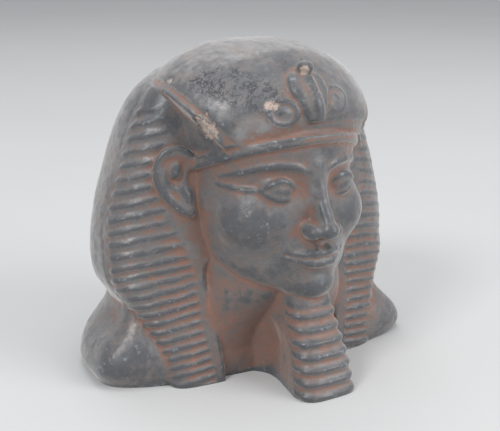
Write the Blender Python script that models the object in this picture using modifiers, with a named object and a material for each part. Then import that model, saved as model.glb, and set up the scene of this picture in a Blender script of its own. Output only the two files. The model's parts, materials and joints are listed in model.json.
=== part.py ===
"""Pharaoh bust: a small cast head in a striped nemes headdress, with cobra, band, ears and ribbed beard.

Metres, +Z up. The bust looks along -Y, and its flat underside lies in z = 0 with the origin at its centre.
Proportions are counted in carver's units, of which the bust is 119 high, so all of it follows HEIGHT.
"""

import bmesh
import bpy
import numpy as np
from mathutils import Matrix, Vector

# The one driving size, and the carver's unit that every proportion below is counted in.
HEIGHT = 0.119
UNIT = HEIGHT / 119

# How finely the blocks are fused and how many triangles the finished solid keeps.
FUSE_CELL = 0.8
SMOOTH_ROUNDS = 2
SOLID_TRIANGLES = 9600

BODY_COLOUR = (0.115, 0.095, 0.088, 1)
BODY_ROUGHNESS = 0.55


def length(v):
    return np.sqrt((v * v).sum(-1))


def through(at, knots, values):
    """A smooth curve through values at the knots, read at the places asked for."""
    knots = np.asarray(knots, float)
    values = np.asarray(values, float)
    slopes = np.gradient(values, knots, axis=0)
    at = np.clip(np.asarray(at, float), knots[0], knots[-1])
    i = np.clip(np.searchsorted(knots, at, side="right") - 1, 0, len(knots) - 2)
    step = knots[i + 1] - knots[i]
    s = (at - knots[i]) / step
    if values.ndim > 1:
        s, step = s[..., None], step[..., None]
    return (
        (2 * s**3 - 3 * s**2 + 1) * values[i]
        + (s**3 - 2 * s**2 + s) * step * slopes[i]
        + (3 * s**2 - 2 * s**3) * values[i + 1]
        + (s**3 - s**2) * step * slopes[i + 1]
    )


def ramp(at, low, high):
    """0 below low, 1 above high, smooth between them."""
    s = np.clip((at - low) / (high - low), 0, 1)
    return s * s * (3 - 2 * s)


def ellipsoid(p, centre, radii):
    radii = np.asarray(radii, float)
    q = (p - np.asarray(centre, float)) / radii
    near = length(q)
    return near * (near - 1) / np.maximum(length(q / radii), 1e-9)


def strand(p, points, radii):
    """Distance to a rod that runs through the points and changes its radius on the way."""
    points = np.asarray(points, float)
    best = np.full(len(p), 1e9)
    for a, b, ra, rb in zip(points[:-1], points[1:], radii[:-1], radii[1:]):
        ab = b - a
        t = np.clip(((p - a) @ ab) / (ab @ ab), 0, 1)
        best = np.minimum(best, length(p - a - t[:, None] * ab) - (ra + (rb - ra) * t))
    return best


def blend(a, b, k):
    """The union of two distances, with a fillet about k wide."""
    h = np.clip(0.5 + 0.5 * (b - a) / k, 0, 1)
    return b * (1 - h) + a * h - k * h * (1 - h)


def carve(a, b, k):
    """Takes b out of a, with edges about k wide."""
    return -blend(-a, b, k)


# The head: its centre, then one function for each feature. Every z is a height above the base.
HEAD_CENTRE = (0, -2, 62)
NOSE_BASE_Z = 55.3
CHIN_Z = 32.5
EYE_CENTRE = (11.8, -29.3, 71.2)
EYE_RADII = (7.6, 8.2, 7.0)

# The lower hem of the headcloth slopes back from the forehead, and the band lies right under it.
HEM = (0, -39, 89.6)
HEM_SLOPE = 0.315
HEM_PLANE = (HEM, (0, -HEM_SLOPE, -1))
BAND_TALL = 3.0
BAND_END_TALL = 4.3
BAND_HALF_WIDTH = 32.6
BAND_REACH = 35.8
BAND_MIDDLE_Y = -5


def skull(p):
    d = ellipsoid(p, (0, 2, 74), (31, 40.5, 34))
    d = blend(d, ellipsoid(p, (0, -5, 84), (31.2, 34.2, 20)), 4)
    d = blend(d, ellipsoid(p, (0, 0, 58), (29.5, 38.5, 27)), 8)
    d = blend(d, ellipsoid(p, (0, -14, 45), (23.5, 25, 14.5)), 6)
    d = blend(d, ellipsoid(p, (0, -34.8, CHIN_Z + 5.5), (9, 8, 6)), 5)
    return blend(d, ellipsoid(p, (16, -24.5, 60), (11.5, 11.5, 10.5)), 6)


def front_of_skull(x, z, lift):
    """Points on the front of the skull at the given x and z, raised by lift."""
    x, z = np.broadcast_arrays(np.asarray(x, float), np.asarray(z, float))
    near = np.full(x.shape, -50.0)
    far = np.full(x.shape, -5.0)
    for _ in range(16):
        middle = 0.5 * (near + far)
        outside = skull(np.stack([x, middle, z], -1)) > 0
        near = np.where(outside, middle, near)
        far = np.where(outside, far, middle)
    return np.stack([x, middle - lift, z], -1)


def lid(height, lift):
    """Points along one eyelid, from the inner corner to the outer one, on the eyeball."""
    t = np.linspace(0, 1, 13)
    x = 5.9 + 12.9 * t
    z = EYE_CENTRE[2] - 0.9 + 1.2 * t + height * np.sin(np.pi * t) ** 0.85
    inside = 1 - ((x - EYE_CENTRE[0]) / EYE_RADII[0]) ** 2 - ((z - EYE_CENTRE[2]) / EYE_RADII[2]) ** 2
    y = EYE_CENTRE[1] - EYE_RADII[1] * np.sqrt(np.clip(inside, 0.08, 1)) - lift
    return np.stack([x, y, z], -1)


SWELL = np.sin(np.pi * np.linspace(0, 1, 13))
UPPER_LID = lid(3.9, 0.25)
LOWER_LID = lid(-2.6, 0.0)
PAINT_LINE = front_of_skull((18.6, 21.5, 24.5, 27), (71.4, 71.3, 71.8, 72.4), -0.1)
BROW_LINE = front_of_skull((3.8, 8, 13, 18, 23, 26.5), (77.6, 79.4, 80.1, 79.4, 77.3, 75.6), -0.3)


def eyes(p, d):
    d = carve(d, ellipsoid(p, (12, -42.4, 71.6), (9.5, 6.3, 5.2)), 3)
    d = blend(d, ellipsoid(p, EYE_CENTRE, EYE_RADII), 0.8)
    d = blend(d, strand(p, UPPER_LID, 0.6 + 0.45 * SWELL), 0.5)
    d = blend(d, strand(p, LOWER_LID, 0.45 + 0.3 * SWELL), 0.6)
    d = blend(d, strand(p, PAINT_LINE, (0.8, 0.9, 0.9, 0.5)), 0.5)
    return blend(d, strand(p, BROW_LINE, (1.0, 1.4, 1.5, 1.4, 1.2, 0.7)), 0.8)


def nose(p, d):
    d = blend(d, strand(p, [(0, -37.4, 78), (0, -41.6, 67), (0, -46.2, 59)], (2.6, 2.5, 2.8)), 4)
    d = blend(d, ellipsoid(p, (0, -46.3, 58.4), (3.6, 3.2, 2.8)), 1.5)
    d = blend(d, ellipsoid(p, (4.4, -42.8, 57.7), (2.6, 3.6, 2.6)), 1.2)
    return carve(d, ellipsoid(p, (2.2, -44.6, NOSE_BASE_Z - 0.5), (1.1, 1.7, 1.0)), 0.6)


UPPER_LIP = [(0, -42.7, 50), (2.8, -42.8, 50.5), (6.5, -41, 50), (9.4, -38.2, 49.5), (11, -36.4, 49.4)]
LOWER_LIP = [(0, -42.4, 46.7), (3.8, -42, 46.8), (7.2, -40, 47.7), (9.6, -37.8, 48.8), (10.8, -36.6, 49.2)]
LIP_SEAM = [(0, -44.3, 48.3), (3.5, -43.8, 48.5), (7.0, -41.7, 48.7), (11.4, -36.9, 49.5)]


def mouth(p, d):
    d = blend(d, ellipsoid(p, (0, -31, 49.3), (13, 11.3, 9)), 4)
    upper = strand(p, UPPER_LIP, (1.4, 1.6, 1.3, 0.8, 0.5))
    lower = strand(p, LOWER_LIP, (1.9, 1.8, 1.3, 0.8, 0.5))
    d = blend(d, np.minimum(upper, lower), 1.0)
    d = carve(d, strand(p, LIP_SEAM, (0.3, 0.3, 0.3, 0.4)), 0.4)
    return carve(d, strand(p, [(0, -44.9, NOSE_BASE_Z - 1.3), (0, -44.9, 51.8)], (1.1, 1.4)), 1.2)


def head_distance(p):
    p = p.copy()
    p[:, 0] = np.abs(p[:, 0])
    d = skull(p)
    face = p[:, 1] < -8
    q = p[face]
    d[face] = mouth(q, nose(q, eyes(q, d[face])))
    return d


def blocks_collection():
    made = bpy.data.collections.new("blocks")
    bpy.context.scene.collection.children.link(made)
    made.hide_render = True
    return made


def block(name, mesh, blocks):
    """One block of the carving, kept only as material for the fused bust."""
    made = bpy.data.objects.new(name, mesh)
    made.hide_render = True
    made.display_type = "WIRE"
    blocks.objects.link(made)
    return made


def loft(name, rings, blocks):
    """A closed skin over rings of points, bottom ring first, each running anticlockwise from above."""
    levels, around, _ = rings.shape
    bm = bmesh.new()
    rows = [[bm.verts.new(co) for co in ring] for ring in rings * UNIT]
    for low, high in zip(rows[:-1], rows[1:]):
        for i in range(around):
            j = (i + 1) % around
            bm.faces.new((low[i], low[j], high[j], high[i]))
    bm.faces.new(rows[0][::-1])
    bm.faces.new(rows[-1])
    mesh = bpy.data.meshes.new(name)
    bm.to_mesh(mesh)
    bm.free()
    return block(name, mesh, blocks)


# The headdress: a crown over a hood whose wings and lappets are striped.
CROWN_CENTRE = (0, 4, 82)
CROWN_RADII = (44.0, 43.2, 37)
CROWN_BACK = 41
CROWN_POWER = 2.4
FOLD_PLANE = ((28.4, -27.2, 85.5), (0.763, 0.118, -0.634))
FOLD_STEP = 1.8
HEM_TUCK = 2.2
HEM_LINE = 3.9
TEMPLE_PLANE = ((28.0, -26, 85.5), (0.96, -0.197, -0.2))
HOOD_MIDDLE_Y = 10
RIM_Y = 6.8
RIM_LOW_Y = 3
LAPPET_TOP = 40
LAPPET_PROUD = 3.5
WING_PITCH = 4.5
LAPPET_PITCH = 3.55
STRIPE_HEIGHT = 0.7
STRIPE_TILT = 0.24
STRIPE_RISE = 0.1


def ridges(turns):
    """One roll a turn with wider hollows between them, from 0 to 1."""
    return (0.5 + 0.5 * np.cos(2 * np.pi * turns)) ** 1.4


def oval(angles, half_width, middle, front, back, front_power, back_power):
    """A ring in plan: a superellipse whose front and back halves are unlike."""
    c, s = np.cos(angles), np.sin(angles)
    power = np.where(s < 0, front_power, back_power)
    reach = np.where(s < 0, middle - front, back - middle)
    x = half_width * np.sign(c) * np.abs(c) ** (2 / power)
    y = middle + reach * np.sign(s) * np.abs(s) ** (2 / power)
    return x, y


def outward(points):
    """Unit directions square to a stack of level rings, pointing out."""
    along = np.roll(points, -1, 1) - np.roll(points, 1, 1)
    normal = np.stack([along[..., 1], -along[..., 0]], -1)
    return normal / length(normal)[..., None]


def beyond(points, plane):
    """How far points lie beyond a plane given by a point on it and the way it faces."""
    at, facing = np.asarray(plane, float)
    return (points - at) @ facing / np.linalg.norm(facing)


def rays(rings, segments):
    """Unit directions in rings from straight down to straight up."""
    tilt = np.radians(np.linspace(-89.6, 89.6, rings))[:, None]
    turn = np.linspace(0, 2 * np.pi, segments, endpoint=False)[None]
    flat = np.cos(tilt)
    return np.stack([flat * np.cos(turn), flat * np.sin(turn), np.sin(tilt) + 0 * turn], -1)


def sculpt(name, centre, reach, distance, blocks, rings, segments):
    """A skin whose points are drawn along rays from the centre to where the distance is zero."""
    n = rays(rings, segments)
    flat = n.reshape(-1, 3)
    centre = np.asarray(centre, float)
    out = np.full(len(flat), float(reach))
    for _ in range(14):
        out -= np.clip(0.8 * distance(centre + flat * out[:, None]), 0, reach)
    near = out - 1.5
    far = out + 0.5
    for _ in range(8):
        middle = 0.5 * (near + far)
        outside = distance(centre + flat * middle[:, None]) > 0
        far = np.where(outside, middle, far)
        near = np.where(outside, near, middle)
    return loft(name, centre + n * middle.reshape(rings, segments, 1), blocks)


def cap(name, inset, side_plane, grooves, blocks):
    """A rounded dome, cut flat below along the hem and on both sides along the temple fold."""
    n = rays(300, 480)
    radii = np.subtract(CROWN_RADII, inset)
    deep = np.where(n[..., 1] < 0, radii[1], CROWN_BACK - inset)
    plan = np.hypot(n[..., 0] / radii[0], n[..., 1] / deep)
    power = CROWN_POWER - 0.3 * ramp(n[..., 1], -0.1, 0.5)
    out = (plan**power + np.abs(n[..., 2] / radii[2]) ** power) ** (-1 / power)
    points = n * out[..., None] + CROWN_CENTRE
    fold = -beyond(np.concatenate([np.abs(points[..., :1]), points[..., 1:]], -1), side_plane)
    hem = -beyond(points, HEM_PLANE)
    in_front = 1 - ramp(points[..., 1], -8, 4)
    out -= HEM_TUCK * (1 - ramp(hem, -1, 8)) * in_front
    if grooves:
        out -= 0.55 * np.exp(-(((fold - 2.4) / 0.55) ** 2)) * ramp(hem, 0, 2) * (points[..., 1] < 14)
        one_side = ramp(points[..., 0], -4, -1)
        out -= 0.5 * np.exp(-(((hem - HEM_LINE) / 0.5) ** 2)) * one_side * in_front
    for (at, facing), side in ((HEM_PLANE, 1), (side_plane, 1), (side_plane, -1)):
        at, facing = np.multiply((at, facing), (side, 1, 1))
        towards = n @ facing
        gap = (at - CROWN_CENTRE) @ facing
        out = np.where(towards > 0, np.minimum(out, gap / np.maximum(towards, 1e-6)), out)
    return loft(name, n * out[..., None] + CROWN_CENTRE, blocks)


def hood(blocks):
    """The headcloth behind the face: wings with a plain rim, running down into the lappets."""
    levels = np.linspace(-3, 108, 420)
    angles = np.linspace(0, 2 * np.pi, 640, endpoint=False)
    width = through(
        levels,
        (-3, 11, 24, 36, 48, 59, 71, 82, 92, 98, 104, 108),
        (43, 46.5, 51.3, 58.4, 59.6, 57.7, 54.5, 50.8, 47, 43.8, 38.6, 32.8),
    )
    front = through(levels, (-3, 10, 24, 36, 50, 80, 108), (-19.8, -17.7, -15.2, -13.5, -12, -10.5, -7))
    back = through(levels, (-3, 46, 76, 92, 108), (40, 48, 48, 43, 31))
    power = through(levels, (-3, 15, LAPPET_TOP), (11, 8, 3.4))
    inner = through(levels, (-3, 17, 29, LAPPET_TOP), (23.4, 25.7, 28.2, 29))
    curves = (width, HOOD_MIDDLE_Y + 0 * levels, front, back, power)
    x, y = oval(angles[None], *(curve[:, None] for curve in curves), 2.2)
    z = np.repeat(levels[:, None], len(angles), 1)
    points = np.stack([x, y, z], -1)
    normal = outward(points)
    across = np.abs(x)
    rim = RIM_LOW_Y + (RIM_Y - RIM_LOW_Y) * ramp(z, 44, 62)
    facing_front = 1 - ramp(y - rim, -2.4, 0)
    ends = through(levels, (-3, 29, 37, 46, 62, 80, 100), (27, 31.5, 31.5, 34, 40, 36, 40))
    fading = 1.2 + 5 * ramp(z, 44, 70)
    striped = facing_front * ramp((across - ends[:, None]) / fading, 0, 1) * (1 - ramp(z, 96, 101))
    striped *= 1 - ramp(normal[..., 0], 0.7, 0.9)
    level = z - LAPPET_TOP - STRIPE_TILT * (RIM_Y - y) - STRIPE_RISE * (55 - across)
    turns = level / np.where(level > 0, WING_PITCH, LAPPET_PITCH)
    lift = striped * (STRIPE_HEIGHT * (ridges(turns) - 0.6) - 0.2)
    seam = np.exp(-(((y - rim) / 0.8) ** 2)) * (across > 25)
    lift -= 0.6 * seam * ramp(z, 30, 34) * (1 - ramp(z, 100, 104))
    points[..., :2] += normal * lift[..., None]
    between = (1 - ramp(across - inner[:, None], -2.2, 0.4)) * (1 - ramp(z, 37, 44)) * (y < 0)
    points[..., 1] += between * (LAPPET_PROUD + (12 - LAPPET_PROUD) * (1 - ramp(z, 0, 22)))
    return loft("hood", points, blocks)


# The bust's left shoulder sits lower than its right one by SHOULDER_DROP, and a little further forward.
SHOULDER_DROP = 3.1
SHOULDER_TURN = 2.2
SHOULDER_SHIFT = -0.5


def shoulders(blocks):
    levels = np.linspace(-3, 41, 70)
    angles = np.linspace(0, 2 * np.pi, 240, endpoint=False)
    knots = (-3, 0, 5, 10, 14, 18, 22, 26, 31, 36, 41)
    width = through(levels, knots, (60.8, 62.9, 65.0, 64.2, 61.8, 58, 54.6, 53.2, 53, 50, 38))
    front = through(levels, (-3, 0, 8, 20, 30, 41), (-16.4, -17.3, -17.0, -12.9, -9, -2))
    back = through(levels, (-3, 10, 24, 41), (47, 49, 47, 38))
    middle = through(levels, (-3, 0, 8, 16, 24, 41), (2.5, 2.5, -1.5, -0.8, 1, 2))
    power = through(levels, (-3, 0, 8, 41), (2.4, 2.4, 2.9, 2.9))
    x, y = oval(angles[None], *(curve[:, None] for curve in (width, middle, front, back, power)), 2.8)
    z = levels[:, None] - SHOULDER_DROP * ramp(x, 0, 50)
    turn = np.radians(SHOULDER_TURN)
    turned_x = x * np.cos(turn) + y * np.sin(turn) + SHOULDER_SHIFT
    turned_y = y * np.cos(turn) - x * np.sin(turn)
    return loft("shoulders", np.stack([turned_x, turned_y, z], -1), blocks)


def throat_front(levels):
    return through(levels, (-3, 12, 24, 32, 44), (-15.8, -17.0, -22.5, -29, -30))


def throat(blocks):
    levels = np.linspace(-3, 44, 60)
    angles = np.linspace(0, 2 * np.pi, 160, endpoint=False)
    width = through(levels, (-3, 24, 32, 44), (34, 33, 31, 28))
    power = through(levels, (-3, 24, 32, 44), (5, 2.7, 2.3, 2.2))
    x, y = oval(angles[None], width[:, None], 2, throat_front(levels)[:, None], 20, power[:, None], 2)
    points = np.stack([x, y, np.repeat(levels[:, None], len(angles), 1)], -1)
    return loft("throat", points, blocks)


BEARD_PITCH = 4.3
BEARD_RIB = 1.0


def beard(blocks):
    levels = np.linspace(-3, 37, 150)
    angles = np.linspace(0, 2 * np.pi, 120, endpoint=False)
    width = through(levels, (-3, 12, 30, 37), (11.6, 10.2, 8.5, 7.5))
    front = through(levels, (-3, 0, 14, 30, 37), (-52.0, -51.5, -47.4, -40.4, -38))[:, None]
    x, y = oval(angles[None], width[:, None], front + 9, front, -8, 3.6, 6)
    chest = throat_front(levels)[:, None]
    forward = (chest - y) / (chest - front)
    z = np.repeat(levels[:, None], len(angles), 1)
    waist = through(forward, (-0.06, 0.04, 0.14, 0.28, 0.5, 0.62, 0.78), (1.4, 1, 0.76, 0.7, 0.83, 0.93, 1))
    x *= 1 + (waist - 1) * (1 - ramp(z, 14, 26))
    points = np.stack([x, y, z], -1)
    ribbed = (1 - ramp(y - front, 5.5, 9)) * (1 - ramp(z, 28, 31))
    lift = BEARD_RIB * ribbed * (ridges((z - 1.6) / BEARD_PITCH) - 0.6)
    points[..., :2] += outward(points) * lift[..., None]
    return loft("beard", points, blocks)


def tube(name, points, radii, blocks):
    """A round rod of changing thickness through the points: a bevelled curve made a mesh."""
    curve = bpy.data.curves.new(name, "CURVE")
    curve.dimensions = "3D"
    curve.bevel_depth = UNIT
    curve.bevel_resolution = 6
    curve.use_fill_caps = True
    line = curve.splines.new("POLY")
    line.points.add(len(points) - 1)
    for place, co, radius in zip(line.points, points, radii):
        place.co = (*(co * UNIT), 1)
        place.radius = radius
    holder = bpy.data.objects.new(name, curve)
    bpy.context.scene.collection.objects.link(holder)
    mesh = evaluated(holder)
    bpy.data.objects.remove(holder)
    bm = bmesh.new()
    bm.from_mesh(mesh)
    bmesh.ops.remove_doubles(bm, verts=bm.verts[:], dist=1e-6)
    bm.to_mesh(mesh)
    bm.free()
    return block(name, mesh, blocks)


def smooth_line(points, count):
    points = np.asarray(points, float)
    knots = np.concatenate([[0], np.cumsum(length(np.diff(points, axis=0)))])
    return through(np.linspace(0, knots[-1], count), knots, points)


# The bust's left ear sits a little further in and back than its right one.
EAR_SHIFTS = {-1: (0, 0, 0), 1: (-2.0, 2.6, 0)}


def ear(side, blocks):
    rim = [(31.8, -10, 78), (33.2, -10.5, 82), (37.8, -10, 84), (42.3, -8.8, 82), (44.2, -8, 77.3)]
    rim += [(43.2, -8, 71.5), (40, -9, 66.7), (36, -9.8, 63), (33, -10.5, 61.8)]
    helix = smooth_line(rim, 24)

    def distance(p):
        q = p * [side, 1, 1] - EAR_SHIFTS[side]
        d = ellipsoid(q, (38, -7, 75), (6.6, 4.0, 9.2))
        d = blend(d, ellipsoid(q, (34.2, -8.5, 66), (3.6, 3.4, 5.0)), 3)
        d = blend(d, strand(q, helix, np.linspace(1.4, 2.0, 24)), 1.2)
        d = carve(d, ellipsoid(q, (38.1, -12.4, 75.5), (4.2, 3.8, 5.8)), 1.0)
        return blend(d, ellipsoid(q, (38.2, -9.5, 77), (2.3, 1.7, 3.3)), 0.5)

    name = "ear_left" if side > 0 else "ear_right"
    return sculpt(name, (37.5 * side, -7, 73), 26, distance, blocks, 130, 160)


COIL_WIDE = 4.6
COIL_TALL = 3.6
# The side, the distance from the middle, the height and the depth of each coil of the cobra's body.
COILS = ((-1, 11.4, 97.2, 0.5), (1, 10.0, 99.9, 1.0))


def crown_front(x, z):
    """How far forward the dome's skin lies at the given x and z."""
    level = (1 - ((z - CROWN_CENTRE[2]) / CROWN_RADII[2]) ** CROWN_POWER) ** (1 / CROWN_POWER)
    y = CROWN_CENTRE[1] - CROWN_RADII[1] * np.sqrt(level**2 - (x / CROWN_RADII[0]) ** 2)
    return y + HEM_TUCK * (1 - ramp(z - HEM[2], -1, 8))


def ball(name, centre, radii, blocks):
    bm = bmesh.new()
    stretch = Matrix.LocRotScale(Vector(centre) * UNIT, None, Vector(radii) * UNIT)
    bmesh.ops.create_uvsphere(bm, u_segments=48, v_segments=32, radius=1, matrix=stretch)
    mesh = bpy.data.meshes.new(name)
    bm.to_mesh(mesh)
    bm.free()
    return block(name, mesh, blocks)


def cobra(blocks):
    spine = [(0.4, -37.0, 94.5), (0, -37, 99), (-0.6, -34, 105), (-0.8, -31, 110), (-0.8, -31.6, 112.2)]
    body = smooth_line(spine, 20)
    tube("cobra_body", body, np.linspace(3.2, 2.3, 20), blocks)
    ball("cobra_head", (-0.8, -31.8, 111.2), (2.7, 3.6, 2.4), blocks)
    levels = np.linspace(93.8, 110.5, 60)
    angles = np.linspace(0, 2 * np.pi, 80, endpoint=False)
    width = through(levels, (93.8, 97, 101, 105.5, 108.5, 110.5), (3.0, 4.6, 6.3, 7.3, 5.8, 2.6))
    proud = through(levels, (93.8, 97, 105), (0.8, 2.2, 3.0))[:, None]
    back = crown_front(0, levels)[:, None]
    x, y = oval(angles[None], width[:, None], back, back - proud, back + 3, 2.2, 2)
    loft("cobra_hood", np.stack([x - 0.4, y, np.repeat(levels[:, None], len(angles), 1)], -1), blocks)
    for side, away, middle, sunk in COILS:
        name = "coil_left" if side > 0 else "coil_right"
        turn = np.linspace(0, 2.2 * np.pi, 50)
        x = side * (away + COIL_WIDE * np.cos(turn))
        z = middle + COIL_TALL * np.sin(turn)
        tube(name, np.stack([x, crown_front(x, z) + sunk, z], -1), np.full(50, 1.3), blocks)
        x = side * away
        ball(name + "_boss", (x, crown_front(x, middle) + sunk, middle), (2.2, 0.9, 1.8), blocks)


def band(blocks):
    """The flat strip over the forehead, right under the hem."""
    turn = np.radians(np.linspace(-81, 81, 140))[:, None]
    around = np.linspace(0, 2 * np.pi, 32, endpoint=False)[None]
    c, s = np.cos(around), np.sin(around)
    half = 0.5 * (BAND_TALL + (BAND_END_TALL - BAND_TALL) * np.sin(turn) ** 2)
    deep = 2.2 * np.sign(c) * np.abs(c) ** 0.35
    tall = half * np.sign(s) * np.abs(s) ** 0.35
    x = (BAND_HALF_WIDTH - 2.2 + deep) * np.sin(turn)
    y = BAND_MIDDLE_Y - (BAND_REACH - 2.2 + deep) * np.cos(turn)
    z = HEM[2] - HEM_SLOPE * (y - HEM[1]) - half + tall
    return loft("band", np.stack([x, y, z], -1), blocks)


def evaluated(thing):
    graph = bpy.context.evaluated_depsgraph_get()
    return bpy.data.meshes.new_from_object(thing.evaluated_get(graph))


def fused(blocks):
    """Joins the blocks into one skin, rounds its creases, thins it and cuts it flat below."""
    bm = bmesh.new()
    for part in blocks.objects:
        bm.from_mesh(part.data)
    mesh = bpy.data.meshes.new("pharaoh_bust")
    bm.to_mesh(mesh)
    bm.free()
    bust = bpy.data.objects.new("pharaoh_bust", mesh)
    shown = bpy.data.collections.new("pharaoh_bust")
    bpy.context.scene.collection.children.link(shown)
    shown.objects.link(bust)
    fuse = bust.modifiers.new("fuse", "REMESH")
    fuse.mode = "VOXEL"
    fuse.voxel_size = FUSE_CELL * UNIT
    soften = bust.modifiers.new("soften", "SMOOTH")
    soften.factor = 0.5
    soften.iterations = SMOOTH_ROUNDS
    skin = evaluated(bust)
    thin = bust.modifiers.new("thin", "DECIMATE")
    thin.ratio = SOLID_TRIANGLES / (2 * len(skin.polygons))
    skin = evaluated(bust)
    bust.modifiers.clear()
    bm = bmesh.new()
    bm.from_mesh(skin)
    everything = bm.verts[:] + bm.edges[:] + bm.faces[:]
    bmesh.ops.bisect_plane(bm, geom=everything, plane_co=(0, 0, 0), plane_no=(0, 0, -1), clear_outer=True)
    bmesh.ops.holes_fill(bm, edges=[e for e in bm.edges if e.is_boundary])
    bmesh.ops.triangulate(bm, faces=bm.faces[:])
    bm.to_mesh(skin)
    bm.free()
    bust.data = skin
    return bust


def dark_plaster():
    material = bpy.data.materials.new("dark plaster")
    material.use_nodes = True
    surface = material.node_tree.nodes["Principled BSDF"]
    surface.inputs["Base Color"].default_value = BODY_COLOUR
    surface.inputs["Roughness"].default_value = BODY_ROUGHNESS
    return material


def main():
    for old in list(bpy.data.objects):
        bpy.data.objects.remove(old)
    blocks = blocks_collection()
    sculpt("head", HEAD_CENTRE, 60, head_distance, blocks, 280, 380)
    cap("crown", 0, FOLD_PLANE, True, blocks)
    cap("temples", FOLD_STEP, TEMPLE_PLANE, False, blocks)
    hood(blocks)
    shoulders(blocks)
    throat(blocks)
    beard(blocks)
    band(blocks)
    cobra(blocks)
    for side in (-1, 1):
        ear(side, blocks)
    bust = fused(blocks)
    bust.data.materials.clear()
    bust.data.materials.append(dark_plaster())
    bust.data.shade_smooth()


if __name__ == "__main__":
    main()
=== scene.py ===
"""Pharaoh bust: the looks. A finely carved mesh stands for the CAD solid, in worn dark plaster.

Metres, +Z up. The bust looks along -Y. Shapes are in carver's units, and the bust is 119 of them high.
"""

import json
import math

import bmesh
import bpy
import numpy as np
from mathutils import Matrix, Vector

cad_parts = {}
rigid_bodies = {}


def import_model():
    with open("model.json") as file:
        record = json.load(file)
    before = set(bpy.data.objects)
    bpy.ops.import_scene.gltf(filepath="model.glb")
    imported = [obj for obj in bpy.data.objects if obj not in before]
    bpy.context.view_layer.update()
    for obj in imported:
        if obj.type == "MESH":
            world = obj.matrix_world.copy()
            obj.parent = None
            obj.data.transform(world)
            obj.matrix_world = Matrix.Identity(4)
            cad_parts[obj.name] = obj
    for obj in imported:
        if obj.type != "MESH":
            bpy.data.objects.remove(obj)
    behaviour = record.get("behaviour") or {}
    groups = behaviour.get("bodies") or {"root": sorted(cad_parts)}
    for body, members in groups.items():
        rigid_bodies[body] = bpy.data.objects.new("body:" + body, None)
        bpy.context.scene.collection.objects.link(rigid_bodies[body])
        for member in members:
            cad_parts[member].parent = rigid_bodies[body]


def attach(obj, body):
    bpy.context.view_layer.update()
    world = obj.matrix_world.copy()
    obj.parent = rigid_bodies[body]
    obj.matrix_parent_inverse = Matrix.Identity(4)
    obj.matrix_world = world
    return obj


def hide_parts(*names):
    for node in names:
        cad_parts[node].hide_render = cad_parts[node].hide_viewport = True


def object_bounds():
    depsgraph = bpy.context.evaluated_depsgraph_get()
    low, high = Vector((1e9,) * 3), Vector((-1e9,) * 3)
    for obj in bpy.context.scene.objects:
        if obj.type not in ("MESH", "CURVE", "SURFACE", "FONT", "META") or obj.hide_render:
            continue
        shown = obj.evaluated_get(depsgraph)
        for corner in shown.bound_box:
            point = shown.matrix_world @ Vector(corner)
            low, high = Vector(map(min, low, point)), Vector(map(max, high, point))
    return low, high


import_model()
cad_low, cad_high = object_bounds()

# The bust's height is read from the frame, and every proportion below is counted in carver's units.
UNITS_HIGH = 119
UNIT = (cad_high.z - cad_low.z) / UNITS_HIGH

# How finely the blocks are fused, how much creases are rounded, and how many triangles are kept.
FUSE_CELL = 0.5
SMOOTH_SHARE = 0.5
SMOOTH_ROUNDS = 2
FINE_TRIANGLES = 190000

# The blocks start a little below the base, where the fused skin is cut off flat.
BOTTOM = -3

# The rows of each block's skin, and the points around each row.
FINENESS = {
    "head": (280, 380),
    "crown": (300, 480),
    "hood": (420, 640),
    "shoulders": (70, 240),
    "throat": (60, 160),
    "beard": (150, 120),
    "ear": (130, 160),
    "cobra_hood": (60, 80),
    "band": (140, 32),
}

# Layers of unevenness: the size of the bumps in each, its seed and its strength.
CASTING = ((12, 1, 0.14), (4.5, 2, 0.07), (1.7, 3, 0.04))
CHIP_EDGES = ((1.9, 11, 0.24), (0.8, 12, 0.14))
CHIP_FLOORS = ((1.1, 13, 0.4),)
STRIPE_COURSES = ((15, 21, 0.35), (5, 22, 0.22))
STRIPE_HEIGHTS = ((7, 23, 0.35),)
SCRATCHED_EDGES = ((3.5, 31, 1.6),)


def length(v):
    return np.sqrt((v * v).sum(-1))


def through(at, knots, values):
    """A smooth curve through values at the knots, read at the places asked for."""
    knots = np.asarray(knots, float)
    values = np.asarray(values, float)
    slopes = np.gradient(values, knots, axis=0)
    at = np.clip(np.asarray(at, float), knots[0], knots[-1])
    i = np.clip(np.searchsorted(knots, at, side="right") - 1, 0, len(knots) - 2)
    step = knots[i + 1] - knots[i]
    s = (at - knots[i]) / step
    if values.ndim > 1:
        s, step = s[..., None], step[..., None]
    return (
        (2 * s**3 - 3 * s**2 + 1) * values[i]
        + (s**3 - 2 * s**2 + s) * step * slopes[i]
        + (3 * s**2 - 2 * s**3) * values[i + 1]
        + (s**3 - s**2) * step * slopes[i + 1]
    )


def ramp(at, low, high):
    """0 below low, 1 above high, smooth between them."""
    s = np.clip((at - low) / (high - low), 0, 1)
    return s * s * (3 - 2 * s)


def bell(at, middle, half_width):
    """1 at the middle, falling softly to 0 on both sides of it."""
    return np.exp(-(((at - middle) / half_width) ** 2))


def ellipsoid(p, centre, radii):
    """Roughly the distance to an ellipsoid's skin, negative inside it."""
    radii = np.asarray(radii, float)
    q = (p - np.asarray(centre, float)) / radii
    near = length(q)
    return near * (near - 1) / np.maximum(length(q / radii), 1e-9)


def strand(p, points, radii):
    """Distance to a rod that runs through the points and changes its radius on the way."""
    points = np.asarray(points, float)
    best = np.full(len(p), 1e9)
    for a, b, ra, rb in zip(points[:-1], points[1:], radii[:-1], radii[1:]):
        ab = b - a
        t = np.clip(((p - a) @ ab) / (ab @ ab), 0, 1)
        best = np.minimum(best, length(p - a - t[:, None] * ab) - (ra + (rb - ra) * t))
    return best


def blend(a, b, k):
    """The union of two distances, with a fillet about k wide."""
    h = np.clip(0.5 + 0.5 * (b - a) / k, 0, 1)
    return b * (1 - h) + a * h - k * h * (1 - h)


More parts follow.
